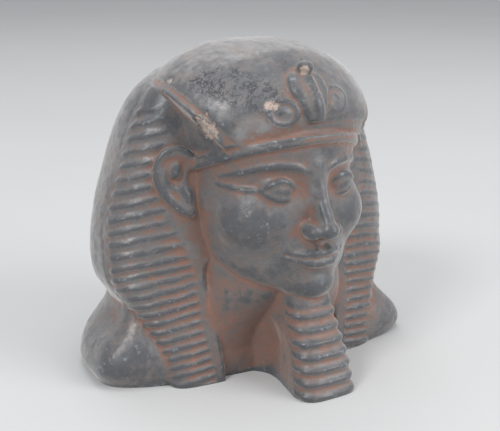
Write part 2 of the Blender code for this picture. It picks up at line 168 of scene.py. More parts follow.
def carve(a, b, k):
    """Takes b out of a, with edges about k wide."""
    return -blend(-a, b, k)


# The head: its centre, then one function for each feature. Every z is a height above the base.
HEAD_CENTRE = (0, -2, 62)
HEAD_REACH = 60
NOSE_BASE_Z = 55.3
CHIN_Z = 32.5
EYE_CENTRE = (11.8, -29.3, 71.2)
EYE_RADII = (7.6, 8.2, 7.0)

# Rounded lumps and hollows of the face, on the bust's left half: a centre and radii.
CRANIUM = ((0, 2, 74), (31, 40.5, 34))
EYE_SOCKET = ((12, -42.4, 71.6), (9.5, 6.3, 5.2))
NOSE_TIP = ((0, -46.3, 58.4), (3.6, 3.2, 2.8))
NOSTRIL_WING = ((4.4, -42.8, 57.7), (2.6, 3.6, 2.6))
NOSTRIL = ((2.2, -44.6, NOSE_BASE_Z - 0.5), (1.1, 1.7, 1.0))
MUZZLE = ((0, -31, 49.3), (13, 11.3, 9))
# What is joined to the cranium: a centre, radii, and the width of the fillet.
SKULL_LUMPS = {
    "forehead": ((0, -5, 84), (31.2, 34.2, 20), 4),
    "middle": ((0, 0, 58), (29.5, 38.5, 27), 8),
    "jaw": ((0, -14, 45), (23.5, 25, 14.5), 6),
    "chin": ((0, -34.8, CHIN_Z + 5.5), (9, 8, 6), 5),
    "cheek": ((16, -24.5, 60), (11.5, 11.5, 10.5), 6),
}
NOSE_RIDGE = [(0, -37.4, 78), (0, -41.6, 67), (0, -46.2, 59)]
NOSE_RIDGE_RADII = (2.6, 2.5, 2.8)
GROOVE_OVER_LIP = [(0, -44.9, NOSE_BASE_Z - 1.3), (0, -44.9, 51.8)]

# The lower hem of the headcloth slopes back from the forehead, and the band lies right under it.
HEM = (0, -39, 89.6)
HEM_SLOPE = 0.315
HEM_PLANE = (HEM, (0, -HEM_SLOPE, -1))
BAND_TALL = 3.0
BAND_HALF_THICK = 2.2
BAND_ENDS = 81
BAND_SQUARENESS = 0.35
BAND_END_TALL = 4.3
BAND_HALF_WIDTH = 32.6
BAND_REACH = 35.8
BAND_MIDDLE_Y = -5


def skull(p):
    d = ellipsoid(p, *CRANIUM)
    for centre, radii, fillet in SKULL_LUMPS.values():
        d = blend(d, ellipsoid(p, centre, radii), fillet)
    return d


def front_of_skull(x, z, lift):
    """Points on the front of the skull at the given x and z, raised by lift."""
    x, z = np.broadcast_arrays(np.asarray(x, float), np.asarray(z, float))
    near = np.full(x.shape, -50.0)
    far = np.full(x.shape, -5.0)
    for _ in range(16):
        middle = 0.5 * (near + far)
        outside = skull(np.stack([x, middle, z], -1)) > 0
        near = np.where(outside, middle, near)
        far = np.where(outside, far, middle)
    return np.stack([x, middle - lift, z], -1)


def lid(height, lift):
    """Points along one eyelid, from the inner corner to the outer one, on the eyeball."""
    t = np.linspace(0, 1, 13)
    x = 5.9 + 12.9 * t
    z = EYE_CENTRE[2] - 0.9 + 1.2 * t + height * np.sin(np.pi * t) ** 0.85
    inside = 1 - ((x - EYE_CENTRE[0]) / EYE_RADII[0]) ** 2 - ((z - EYE_CENTRE[2]) / EYE_RADII[2]) ** 2
    y = EYE_CENTRE[1] - EYE_RADII[1] * np.sqrt(np.clip(inside, 0.08, 1)) - lift
    return np.stack([x, y, z], -1)


SWELL = np.sin(np.pi * np.linspace(0, 1, 13))
UPPER_LID = lid(3.9, 0.25)
LOWER_LID = lid(-2.6, 0.0)
PAINT_LINE = front_of_skull((18.6, 21.5, 24.5, 27), (71.4, 71.3, 71.8, 72.4), -0.1)
BROW_LINE = front_of_skull((3.8, 8, 13, 18, 23, 26.5), (77.6, 79.4, 80.1, 79.4, 77.3, 75.6), -0.3)


def eyes(p, d):
    d = carve(d, ellipsoid(p, *EYE_SOCKET), 3)
    d = blend(d, ellipsoid(p, EYE_CENTRE, EYE_RADII), 0.8)
    d = blend(d, strand(p, UPPER_LID, 0.6 + 0.45 * SWELL), 0.5)
    d = blend(d, strand(p, LOWER_LID, 0.45 + 0.3 * SWELL), 0.6)
    d = blend(d, strand(p, PAINT_LINE, (0.8, 0.9, 0.9, 0.5)), 0.5)
    return blend(d, strand(p, BROW_LINE, (1.0, 1.4, 1.5, 1.4, 1.2, 0.7)), 0.8)


def nose(p, d):
    d = blend(d, strand(p, NOSE_RIDGE, NOSE_RIDGE_RADII), 4)
    d = blend(d, ellipsoid(p, *NOSE_TIP), 1.5)
    d = blend(d, ellipsoid(p, *NOSTRIL_WING), 1.2)
    return carve(d, ellipsoid(p, *NOSTRIL), 0.6)


UPPER_LIP = [(0, -42.7, 50), (2.8, -42.8, 50.5), (6.5, -41, 50), (9.4, -38.2, 49.5), (11, -36.4, 49.4)]
LOWER_LIP = [(0, -42.4, 46.7), (3.8, -42, 46.8), (7.2, -40, 47.7), (9.6, -37.8, 48.8), (10.8, -36.6, 49.2)]
LIP_SEAM = [(0, -44.3, 48.3), (3.5, -43.8, 48.5), (7.0, -41.7, 48.7), (11.4, -36.9, 49.5)]


def mouth(p, d):
    d = blend(d, ellipsoid(p, *MUZZLE), 4)
    upper = strand(p, UPPER_LIP, (1.4, 1.6, 1.3, 0.8, 0.5))
    lower = strand(p, LOWER_LIP, (1.9, 1.8, 1.3, 0.8, 0.5))
    d = blend(d, np.minimum(upper, lower), 1.0)
    d = carve(d, strand(p, LIP_SEAM, (0.3, 0.3, 0.3, 0.4)), 0.4)
    return carve(d, strand(p, GROOVE_OVER_LIP, (1.1, 1.4)), 1.2)


def head_distance(p):
    p = p.copy()
    p[:, 0] = np.abs(p[:, 0])
    d = skull(p)
    face = p[:, 1] < -8
    q = p[face]
    d[face] = mouth(q, nose(q, eyes(q, d[face])))
    return d


def blocks_collection():
    made = bpy.data.collections.new("blocks")
    bpy.context.scene.collection.children.link(made)
    made.hide_render = True
    return made


def block(name, mesh, blocks):
    """One block of the carving, kept only as material for the fused bust."""
    made = bpy.data.objects.new(name, mesh)
    made.hide_render = True
    made.display_type = "WIRE"
    blocks.objects.link(made)
    return made


def loft(name, rings, blocks):
    """A closed skin over rings of points, bottom ring first, each running anticlockwise from above."""
    around = rings.shape[1]
    bm = bmesh.new()
    rows = [[bm.verts.new(co) for co in ring] for ring in rings * UNIT]
    for low, high in zip(rows[:-1], rows[1:]):
        for i in range(around):
            j = (i + 1) % around
            bm.faces.new((low[i], low[j], high[j], high[i]))
    bm.faces.new(rows[0][::-1])
    bm.faces.new(rows[-1])
    mesh = bpy.data.meshes.new(name)
    bm.to_mesh(mesh)
    bm.free()
    return block(name, mesh, blocks)


def full_turn(points):
    """Angles spread evenly around a ring."""
    return np.linspace(0, 2 * np.pi, points, endpoint=False)[None]


def stacked(x, y, levels):
    """Rings of points, one for each level."""
    return np.stack([x, y, np.repeat(levels[:, None], x.shape[1], 1)], -1)


def squared_off(wave, power):
    """A sine or cosine to a power, with its sign kept. Low powers make a round ring boxier."""
    return np.sign(wave) * np.abs(wave) ** power


# The headdress: a crown over a hood whose wings and lappets are striped.
CROWN_CENTRE = (0, 4, 82)
CROWN_RADII = (44.0, 43.2, 37)
CROWN_BACK = 41
CROWN_POWER = 2.4
FOLD_PLANE = ((28.4, -27.2, 85.5), (0.763, 0.118, -0.634))
FOLD_STEP = 1.8
HEM_TUCK = 2.2
# A line cut into the crown: how far it lies from the edge, its half width and its depth.
FOLD_LINE = (2.4, 0.55, 0.55)
HEM_LINE = (3.9, 0.5, 0.5)
TEMPLE_PLANE = ((28.0, -26, 85.5), (0.96, -0.197, -0.2))
HOOD_TOP = 108
HOOD_MIDDLE_Y = 10
HOOD_BACK_POWER = 2.2
RIM_Y = 6.8
RIM_LOW_Y = 3
RIM_RISES = (44, 62)
SEAM_DEEP = 0.5
LAPPET_TOP = 40
LAPPET_PROUD = 3.5
WING_PITCH = 4.5
LAPPET_PITCH = 3.55
STRIPE_HEIGHT = 0.7
STRIPE_SINK = 0.2
STRIPE_TILT = 0.24
STRIPE_RISE = 0.1
# The share of its height by which a row of ridges is lowered, to lie half proud and half sunk.
RIDGES_DOWN = 0.6
CHEST_BACK = 12


def ridges(turns):
    """One roll a turn with wider hollows between them, from 0 to 1."""
    return (0.5 + 0.5 * np.cos(2 * np.pi * turns)) ** 1.4


def oval(angles, half_width, middle, front, back, front_power, back_power):
    """A ring in plan: a superellipse whose front and back halves are unlike."""
    c, s = np.cos(angles), np.sin(angles)
    power = np.where(s < 0, front_power, back_power)
    reach = np.where(s < 0, middle - front, back - middle)
    return half_width * squared_off(c, 2 / power), middle + reach * squared_off(s, 2 / power)


def outward(points):
    """Unit directions square to a stack of level rings, pointing out."""
    along = np.roll(points, -1, 1) - np.roll(points, 1, 1)
    normal = np.stack([along[..., 1], -along[..., 0]], -1)
    return normal / length(normal)[..., None]


def beyond(points, plane):
    """How far points lie beyond a plane given by a point on it and the way it faces."""
    at, facing = np.asarray(plane, float)
    return (points - at) @ facing / np.linalg.norm(facing)


def rays(rows, points):
    """Unit directions in rings from straight down to straight up."""
    tilt = np.radians(np.linspace(-89.6, 89.6, rows))[:, None]
    turn = full_turn(points)
    flat = np.cos(tilt)
    return np.stack([flat * np.cos(turn), flat * np.sin(turn), np.sin(tilt) + 0 * turn], -1)


# How a skin is found along a ray: careful steps inwards, then halvings of the stretch that is left.
STEPS_IN = 14
STEP_SHARE = 0.8
HALVINGS = 8
SEARCH_BELOW = 1.5
SEARCH_ABOVE = 0.5


def sculpt(name, centre, reach, distance, fineness, blocks):
    """A skin whose points are drawn along rays from the centre to where the distance is zero."""
    n = rays(*fineness)
    flat = n.reshape(-1, 3)
    centre = np.asarray(centre, float)
    out = np.full(len(flat), float(reach))
    for _ in range(STEPS_IN):
        out -= np.clip(STEP_SHARE * distance(centre + flat * out[:, None]), 0, reach)
    near = out - SEARCH_BELOW
    far = out + SEARCH_ABOVE
    for _ in range(HALVINGS):
        middle = 0.5 * (near + far)
        outside = distance(centre + flat * middle[:, None]) > 0
        far = np.where(outside, middle, far)
        near = np.where(outside, near, middle)
    return loft(name, centre + n * middle.reshape(*fineness, 1), blocks)


def cap(name, inset, side_plane, grooves, blocks):
    """A rounded dome, cut flat below along the hem and on both sides along the temple fold."""
    n = rays(*FINENESS["crown"])
    radii = np.subtract(CROWN_RADII, inset)
    deep = np.where(n[..., 1] < 0, radii[1], CROWN_BACK - inset)
    plan = np.hypot(n[..., 0] / radii[0], n[..., 1] / deep)
    power = CROWN_POWER - 0.3 * ramp(n[..., 1], -0.1, 0.5)
    out = (plan**power + np.abs(n[..., 2] / radii[2]) ** power) ** (-1 / power)
    points = n * out[..., None] + CROWN_CENTRE
    fold = -beyond(np.concatenate([np.abs(points[..., :1]), points[..., 1:]], -1), side_plane)
    hem = -beyond(points, HEM_PLANE)
    in_front = 1 - ramp(points[..., 1], -8, 4)
    out -= HEM_TUCK * (1 - ramp(hem, -1, 8)) * in_front
    if grooves:
        at, half_width, deep = FOLD_LINE
        out -= deep * bell(fold, at, half_width) * ramp(hem, 0, 2) * (points[..., 1] < 14)
        at, half_width, deep = HEM_LINE
        out -= deep * bell(hem, at, half_width) * ramp(points[..., 0], -4, -1) * in_front
    for (at, facing), side in ((HEM_PLANE, 1), (side_plane, 1), (side_plane, -1)):
        at, facing = np.multiply((at, facing), (side, 1, 1))
        towards = n @ facing
        gap = (at - CROWN_CENTRE) @ facing
        out = np.where(towards > 0, np.minimum(out, gap / np.maximum(towards, 1e-6)), out)
    return loft(name, n * out[..., None] + CROWN_CENTRE, blocks)


def rim_line(z):
    """How far back the edge between the striped front and the plain side lies at each height."""
    return RIM_LOW_Y + (RIM_Y - RIM_LOW_Y) * ramp(z, *RIM_RISES)


def hood(blocks):
    """The headcloth behind the face: wings with a plain rim, running down into the lappets."""
    rows, around = FINENESS["hood"]
    levels = np.linspace(BOTTOM, HOOD_TOP, rows)
    width = through(
        levels,
        (BOTTOM, 11, 24, 36, 48, 59, 71, 82, 92, 98, 104, HOOD_TOP),
        (43, 46.5, 51.3, 58.4, 59.6, 57.7, 54.5, 50.8, 47, 43.8, 38.6, 32.8),
    )
    front_knots = (BOTTOM, 10, 24, 36, 50, 80, HOOD_TOP)
    front = through(levels, front_knots, (-19.8, -17.7, -15.2, -13.5, -12, -10.5, -7))
    back = through(levels, (BOTTOM, 46, 76, 92, HOOD_TOP), (40, 48, 48, 43, 31))
    power = through(levels, (BOTTOM, 15, LAPPET_TOP), (11, 8, 3.4))
    inner = through(levels, (BOTTOM, 17, 29, LAPPET_TOP), (23.4, 25.7, 28.2, 29))
    curves = (width, HOOD_MIDDLE_Y + 0 * levels, front, back, power)
    x, y = oval(full_turn(around), *(curve[:, None] for curve in curves), HOOD_BACK_POWER)
    points = stacked(x, y, levels)
    z = points[..., 2].copy()
    normal = outward(points)
    across = np.abs(x)
    rim = rim_line(z)
    facing_front = 1 - ramp(y - rim, -2.4, 0)
    ends = through(levels, (BOTTOM, 29, 37, 46, 62, 80, 100), (27, 31.5, 31.5, 34, 40, 36, 40))
    fading = 1.2 + 5 * ramp(z, 44, 70)
    striped = facing_front * ramp((across - ends[:, None]) / fading, 0, 1) * (1 - ramp(z, 96, 101))
    striped *= 1 - ramp(normal[..., 0], 0.7, 0.9)
    level = z - LAPPET_TOP - STRIPE_TILT * (RIM_Y - y) - STRIPE_RISE * (55 - across)
    flat = points.reshape(-1, 3)
    by_hand = uneven(flat, STRIPE_COURSES).reshape(level.shape)
    turns = (level + by_hand) / np.where(level > 0, WING_PITCH, LAPPET_PITCH)
    height = STRIPE_HEIGHT * (1 + uneven(flat, STRIPE_HEIGHTS)).reshape(level.shape)
    lift = striped * (height * (ridges(turns) - RIDGES_DOWN) - STRIPE_SINK)
    seam = bell(y - rim, -0.6, 1.5) * (across > 25)
    lift -= SEAM_DEEP * seam * ramp(z, 30, 34) * (1 - ramp(z, 100, 104))
    points[..., :2] += normal * lift[..., None]
    open_chest = (1 - ramp(across - inner[:, None], -2.2, 0.4)) * (1 - ramp(z, 37, 44)) * (y < 0)
    points[..., 1] += open_chest * (LAPPET_PROUD + (CHEST_BACK - LAPPET_PROUD) * (1 - ramp(z, 0, 22)))
    return loft("hood", points, blocks)


# The bust's left shoulder sits lower than its right one by SHOULDER_DROP, and a little further forward.
SHOULDER_TOP = 41
SHOULDER_BACK_POWER = 2.8
SHOULDER_DROP = 3.1
SHOULDER_TURN = 2.2
SHOULDER_SHIFT = -0.5


def shoulders(blocks):
    rows, around = FINENESS["shoulders"]
    levels = np.linspace(BOTTOM, SHOULDER_TOP, rows)
    knots = (BOTTOM, 0, 5, 10, 14, 18, 22, 26, 31, 36, SHOULDER_TOP)
    width = through(levels, knots, (60.8, 62.9, 65.0, 64.2, 61.8, 58, 54.6, 53.2, 53, 50, 38))
    front = through(levels, (BOTTOM, 0, 8, 20, 30, SHOULDER_TOP), (-16.4, -17.3, -17.0, -12.9, -9, -2))
    back = through(levels, (BOTTOM, 10, 24, SHOULDER_TOP), (47, 49, 47, 38))
    middle = through(levels, (BOTTOM, 0, 8, 16, 24, SHOULDER_TOP), (2.5, 2.5, -1.5, -0.8, 1, 2))
    power = through(levels, (BOTTOM, 0, 8, SHOULDER_TOP), (2.4, 2.4, 2.9, 2.9))
    curves = (width, middle, front, back, power)
    x, y = oval(full_turn(around), *(curve[:, None] for curve in curves), SHOULDER_BACK_POWER)
    z = levels[:, None] - SHOULDER_DROP * ramp(x, 0, 50)
    turn = np.radians(SHOULDER_TURN)
    turned_x = x * np.cos(turn) + y * np.sin(turn) + SHOULDER_SHIFT
    turned_y = y * np.cos(turn) - x * np.sin(turn)
    return loft("shoulders", np.stack([turned_x, turned_y, z], -1), blocks)


THROAT_TOP = 44


def throat_front(levels):
    return through(levels, (BOTTOM, 12, 24, 32, THROAT_TOP), (-15.8, -17.0, -22.5, -29, -30))


def throat(blocks):
    rows, around = FINENESS["throat"]
    levels = np.linspace(BOTTOM, THROAT_TOP, rows)
    width = through(levels, (BOTTOM, 24, 32, THROAT_TOP), (34, 33, 31, 28))
    power = through(levels, (BOTTOM, 24, 32, THROAT_TOP), (5, 2.7, 2.3, 2.2))
    front = throat_front(levels)
    x, y = oval(full_turn(around), width[:, None], 2, front[:, None], 20, power[:, None], 2)
    return loft("throat", stacked(x, y, levels), blocks)


BEARD_TOP = 37
BEARD_PITCH = 4.3
BEARD_RIB = 1.0
BEARD_FIRST_RIB = 1.6


def beard(blocks):
    """The ribbed beard, with a narrow waist where it stands off from the chest."""
    rows, around = FINENESS["beard"]
    levels = np.linspace(BOTTOM, BEARD_TOP, rows)
    width = through(levels, (BOTTOM, 12, 30, BEARD_TOP), (11.6, 10.2, 8.5, 7.5))
    front = through(levels, (BOTTOM, 0, 14, 30, BEARD_TOP), (-52.0, -51.5, -47.4, -40.4, -38))[:, None]
    x, y = oval(full_turn(around), width[:, None], front + 9, front, -8, 3.6, 6)
    chest = throat_front(levels)[:, None]
    forward = (chest - y) / (chest - front)
    waist = through(forward, (-0.06, 0.04, 0.14, 0.28, 0.5, 0.62, 0.78), (1.4, 1, 0.76, 0.7, 0.83, 0.93, 1))
    x *= 1 + (waist - 1) * (1 - ramp(levels[:, None], 14, 26))
    points = stacked(x, y, levels)
    z = points[..., 2]
    ribbed = (1 - ramp(y - front, 5.5, 9)) * (1 - ramp(z, 28, 31))
    lift = BEARD_RIB * ribbed * (ridges((z - BEARD_FIRST_RIB) / BEARD_PITCH) - RIDGES_DOWN)
    points[..., :2] += outward(points) * lift[..., None]
    return loft("beard", points, blocks)


TUBE_ROUNDNESS = 6
# Metres: how close the ends' loose points lie to those of the side that they are joined to.
WELD = 1e-6


def tube(name, points, radii, blocks):
    """A round rod of changing thickness through the points: a bevelled curve made a mesh."""
    curve = bpy.data.curves.new(name, "CURVE")
    curve.dimensions = "3D"
    curve.bevel_depth = UNIT
    curve.bevel_resolution = TUBE_ROUNDNESS
    curve.use_fill_caps = True
    line = curve.splines.new("POLY")
    line.points.add(len(points) - 1)
    for place, co, radius in zip(line.points, points, radii):
        place.co = (*(co * UNIT), 1)
        place.radius = radius
    holder = bpy.data.objects.new(name, curve)
    bpy.context.scene.collection.objects.link(holder)
    mesh = evaluated(holder)
    bpy.data.objects.remove(holder)
    bm = bmesh.new()
    bm.from_mesh(mesh)
    bmesh.ops.remove_doubles(bm, verts=bm.verts[:], dist=WELD)
    bm.to_mesh(mesh)
    bm.free()
    return block(name, mesh, blocks)


def smooth_line(points, count):
    points = np.asarray(points, float)
    knots = np.concatenate([[0], np.cumsum(length(np.diff(points, axis=0)))])
    return through(np.linspace(0, knots[-1], count), knots, points)


# The bust's left ear sits a little further in and back than its right one.
EAR_SHIFTS = {-1: (0, 0, 0), 1: (-2.0, 2.6, 0)}
EAR_CENTRE = (37.5, -7, 73)
EAR_REACH = 26
EAR_RIM = [(31.8, -10, 78), (33.2, -10.5, 82), (37.8, -10, 84), (42.3, -8.8, 82), (44.2, -8, 77.3)]
EAR_RIM += [(43.2, -8, 71.5), (40, -9, 66.7), (36, -9.8, 63), (33, -10.5, 61.8)]
EAR_RIM_POINTS = 24
EAR_SHELL = ((38, -7, 75), (6.6, 4.0, 9.2))
EAR_LOBE = ((34.2, -8.5, 66), (3.6, 3.4, 5.0))
EAR_BOWL = ((38.1, -12.4, 75.5), (4.2, 3.8, 5.8))
EAR_FLAP = ((38.2, -9.5, 77), (2.3, 1.7, 3.3))


def ear(side, blocks):
    """One ear: a shell with a lobe and a rolled rim, and a bowl cut into it."""
    helix = smooth_line(EAR_RIM, EAR_RIM_POINTS)

    def distance(p):
        q = p * [side, 1, 1] - EAR_SHIFTS[side]
        d = ellipsoid(q, *EAR_SHELL)
        d = blend(d, ellipsoid(q, *EAR_LOBE), 3)
        d = blend(d, strand(q, helix, np.linspace(1.4, 2.0, EAR_RIM_POINTS)), 1.2)
        d = carve(d, ellipsoid(q, *EAR_BOWL), 1.0)
        return blend(d, ellipsoid(q, *EAR_FLAP), 0.5)

    name = "ear_left" if side > 0 else "ear_right"
    return sculpt(name, np.multiply(EAR_CENTRE, (side, 1, 1)), EAR_REACH, distance, FINENESS["ear"], blocks)


COBRA_HOOD_FOOT = 93.8
COBRA_HOOD_TOP = 110.5
COBRA_SPINE = [(0.4, -37.0, 94.5), (0, -37, 99), (-0.6, -34, 105), (-0.8, -31, 110), (-0.8, -31.6, 112.2)]
COBRA_POINTS = 20
COBRA_HEAD = ((-0.8, -31.8, 111.2), (2.7, 3.6, 2.4))
COIL_WIDE = 4.6
COIL_TALL = 3.6
COIL_THICK = 1.3
COIL_TURN = 2.2 * np.pi
COIL_POINTS = 50
BOSS_RADII = (2.2, 0.9, 1.8)
# Each coil of the cobra's body: its side, how far out and how high it lies, and how deep it is sunk.
COILS = ((-1, 11.4, 97.2, 0.5), (1, 10.0, 99.9, 1.0))


def crown_front(x, z):
    """How far forward the dome's skin lies at the given x and z."""
    level = (1 - ((z - CROWN_CENTRE[2]) / CROWN_RADII[2]) ** CROWN_POWER) ** (1 / CROWN_POWER)
    y = CROWN_CENTRE[1] - CROWN_RADII[1] * np.sqrt(level**2 - (x / CROWN_RADII[0]) ** 2)
    return y + HEM_TUCK * (1 - ramp(z - HEM[2], -1, 8))


BALL_AROUND = 48
BALL_ROWS = 32


def ball(name, centre, radii, blocks):
    bm = bmesh.new()
    stretch = Matrix.LocRotScale(Vector(centre) * UNIT, None, Vector(radii) * UNIT)
    bmesh.ops.create_uvsphere(bm, u_segments=BALL_AROUND, v_segments=BALL_ROWS, radius=1, matrix=stretch)
    mesh = bpy.data.meshes.new(name)
    bm.to_mesh(mesh)
    bm.free()
    return block(name, mesh, blocks)


def cobra(blocks):
    """The cobra that rears over the forehead, its hood spread, with a coil on each side."""
    body = smooth_line(COBRA_SPINE, COBRA_POINTS)
    tube("cobra_body", body, np.linspace(3.2, 2.3, COBRA_POINTS), blocks)
    ball("cobra_head", *COBRA_HEAD, blocks)
    cobra_hood(blocks)
    for side, out, high, sunk in COILS:
        name = "coil_left" if side > 0 else "coil_right"
        turn = np.linspace(0, COIL_TURN, COIL_POINTS)
        x = side * (out + COIL_WIDE * np.cos(turn))
        z = high + COIL_TALL * np.sin(turn)
        line = np.stack([x, crown_front(x, z) + sunk, z], -1)
        tube(name, line, np.full(COIL_POINTS, COIL_THICK), blocks)
        x = side * out
        ball(name + "_boss", (x, crown_front(x, high) + sunk, high), BOSS_RADII, blocks)


def cobra_hood(blocks):
    rows, around = FINENESS["cobra_hood"]
    foot, top = COBRA_HOOD_FOOT, COBRA_HOOD_TOP
    levels = np.linspace(foot, top, rows)
    width = through(levels, (foot, 97, 101, 105.5, 108.5, top), (3.0, 4.6, 6.3, 7.3, 5.8, 2.6))
    proud = through(levels, (foot, 97, 105), (0.8, 2.2, 3.0))[:, None]
    back = crown_front(0, levels)[:, None]
    x, y = oval(full_turn(around), width[:, None], back, back - proud, back + 3, 2.2, 2)
    loft("cobra_hood", stacked(x - 0.4, y, levels), blocks)


def band(blocks):
    """The flat strip over the forehead, right under the hem."""
    rows, around = FINENESS["band"]
    turn = np.radians(np.linspace(-BAND_ENDS, BAND_ENDS, rows))[:, None]
    section = full_turn(around)
    half = 0.5 * (BAND_TALL + (BAND_END_TALL - BAND_TALL) * np.sin(turn) ** 2)
    deep = BAND_HALF_THICK * squared_off(np.cos(section), BAND_SQUARENESS)
    tall = half * squared_off(np.sin(section), BAND_SQUARENESS)
    x = (BAND_HALF_WIDTH - BAND_HALF_THICK + deep) * np.sin(turn)
    y = BAND_MIDDLE_Y - (BAND_REACH - BAND_HALF_THICK + deep) * np.cos(turn)
    z = HEM[2] - HEM_SLOPE * (y - HEM[1]) - half + tall
    return loft("band", np.stack([x, y, z], -1), blocks)


def evaluated(thing):
    """A mesh of the thing as its modifiers or its bevel leave it."""
    graph = bpy.context.evaluated_depsgraph_get()
    return bpy.data.meshes.new_from_object(thing.evaluated_get(graph))


def fine_mesh(blocks):
    """Joins the blocks into one dense skin, rounds its creases, and cuts the small relief into it."""
    bm = bmesh.new()
    for part in blocks.objects:
        bm.from_mesh(part.data)
    mesh = bpy.data.meshes.new("pharaoh_bust_fine")
    bm.to_mesh(mesh)
    bm.free()
    bust = bpy.data.objects.new("pharaoh_bust_fine", mesh)
    bpy.context.scene.collection.objects.link(bust)
    fuse = bust.modifiers.new("fuse", "REMESH")
    fuse.mode = "VOXEL"
    fuse.voxel_size = FUSE_CELL * UNIT
    soften = bust.modifiers.new("soften", "SMOOTH")
    soften.factor = SMOOTH_SHARE
    soften.iterations = SMOOTH_ROUNDS
    skin = evaluated(bust)
    bust.modifiers.clear()
    bust.data = skin
    p, n = places(skin), normals(skin)
    p += n * relief(p)[:, None]
    move_to(skin, p)
    thin = bust.modifiers.new("thin", "DECIMATE")
    thin.ratio = FINE_TRIANGLES / (2 * len(skin.polygons))
    skin = evaluated(bust)
    bust.modifiers.clear()
    bm = bmesh.new()
    bm.from_mesh(skin)
    everything = bm.verts[:] + bm.edges[:] + bm.faces[:]
    bmesh.ops.bisect_plane(bm, geom=everything, plane_co=(0, 0, 0), plane_no=(0, 0, -1), clear_outer=True)
    bmesh.ops.holes_fill(bm, edges=[e for e in bm.edges if e.is_boundary])
    bmesh.ops.triangulate(bm, faces=bm.faces[:])
    bm.to_mesh(skin)
    bm.free()
    move_to(skin, np.clip(places(skin), np.array(cad_low) / UNIT, np.array(cad_high) / UNIT))
    bust.data = skin
    return bust


def places(mesh):
    """The vertices' places in carver's units."""
    out = np.empty(3 * len(mesh.vertices), np.float32)
    mesh.vertices.foreach_get("co", out)
    return out.reshape(-1, 3).astype(float) / UNIT


def move_to(mesh, p):
    mesh.vertices.foreach_set("co", (p * UNIT).astype(np.float32).ravel())


def normals(mesh):
    out = np.empty(3 * len(mesh.vertices), np.float32)
    mesh.vertex_normals.foreach_get("vector", out)
    return out.reshape(-1, 3).astype(float)


# A block of random values, repeated without end. The shift keeps every place that is read positive.
GRAIN_SIDE = 24
GRAIN_STRENGTH = 1.4
GRAIN_SHIFT = 100


def grain(p, size, seed):
    """Smooth random values, mostly between -1 and 1, that change over about the given size."""
    shape = (GRAIN_SIDE, GRAIN_SIDE, GRAIN_SIDE)
    values = np.random.default_rng(seed).uniform(-GRAIN_STRENGTH, GRAIN_STRENGTH, shape)
    q = p / size + GRAIN_SHIFT
    corner = np.floor(q).astype(int)
    f = q - corner
    f = f * f * (3 - 2 * f)
    noise = np.zeros(len(p))
    for step in np.ndindex(2, 2, 2):
        share = np.prod(np.where(step, f, 1 - f), axis=1)
        x, y, z = ((corner + step) % GRAIN_SIDE).T
        noise += share * values[x, y, z]
    return noise


def uneven(p, layers):
    """The sum of several layers of grain."""
    return sum(strength * grain(p, size, seed) for size, seed, strength in layers)


# Chips: a place on the surface, the chip's reach each way and its depth.
FOLD_CHIP = ((-32.4, -20.2, 91.6), (6.4, 5.6, 5.0), 0.9)
EDGE_CHIP = ((-35.9, -2.3, 106.2), (0.8, 1.3, 2.0), 0.35)
HEAD_CHIP = ((-2.4, -34.2, 110.4), (1.6, 2.2, 2.3), 0.45)
COIL_CHIP = ((-14.6, -33.2, 99.9), (2.9, 2.4, 1.5), 0.35)
CHIPS = (FOLD_CHIP, EDGE_CHIP, HEAD_CHIP, COIL_CHIP)


def inside_chip(p, at, reach):
    """0 on the whole surface, 1 inside the chip, with a ragged edge between them."""
    return 1 - ramp(length((p - at) / reach) + uneven(p, CHIP_EDGES), 0.8, 0.95)


def blob(p, at, reach):
    """1 in the middle of a soft-edged egg, 0 well outside it."""
    return np.exp(-(length((p - at) / reach) ** 4))


# The coils' bosses swell a little, and faint rows of scales cross the cobra's hood.
BOSS_SWELL = 0.35
BOSS_REACH = (3.4, 3, 2.6)
SCALED = ((-0.4, -37, 101), (5.5, 3, 6.5))
SCALE_SLANT = 0.5
SCALE_PITCH = 1.7
SCALE_DEEP = 0.05


def relief(p):
    """How far the surface stands out beyond the plain carving, from wear, tools and casting."""
    lift = uneven(p, CASTING)
    for at, reach, depth in CHIPS:
        near = length((p - at) / reach) < 1.6
        q = p[near]
        lift[near] -= depth * inside_chip(q, at, reach) * (1 + uneven(q, CHIP_FLOORS))
    for side, out, high, _ in COILS:
        at = (side * out, crown_front(side * out, high), high)
        lift += BOSS_SWELL * blob(p, at, BOSS_REACH)
    rows = (p[:, 2] + SCALE_SLANT * np.abs(p[:, 0])) / SCALE_PITCH
    lift += SCALE_DEEP * blob(p, *SCALED) * np.cos(2 * np.pi * rows)
    return lift * ramp(p[:, 2], 0, 1.5)


def neighbours(mesh):
    """Both ends of every edge, and how many edges meet at each vertex."""
    ends = np.empty(2 * len(mesh.edges), np.int32)
    mesh.edges.foreach_get("vertices", ends)
    return ends[0::2], ends[1::2], np.bincount(ends, minlength=len(mesh.vertices))


def relaxed(values, joined, rounds):
    """Values at the vertices after many small steps towards their neighbours' average."""
    a, b, count = joined
    for _ in range(rounds):
        for axis in range(values.shape[1]):
            one = values[:, axis]
            nearby = np.bincount(a, one[b], len(one)) + np.bincount(b, one[a], len(one))
            values[:, axis] = 0.5 * one + 0.5 * nearby / np.maximum(count, 1)
    return values


def mark(mesh, name, values):
    """Keeps a number for each vertex, for the material to read."""
    held = mesh.attributes.new(name, "FLOAT", "POINT")
    held.data.foreach_set("value", values.astype(np.float32))


# The patch of dark scratches over the right side of the dome, and the stain of red earth at its outer end.
SCRATCHED = [(-31, -13, 106), (-23, -23, 105.5), (-14.5, -31, 101)]
SCRATCHED_REACH = (3.5, 7.0, 5.0)
STAIN = ((-32.6, -15, 103), (1.5, 2.0, 2.6))

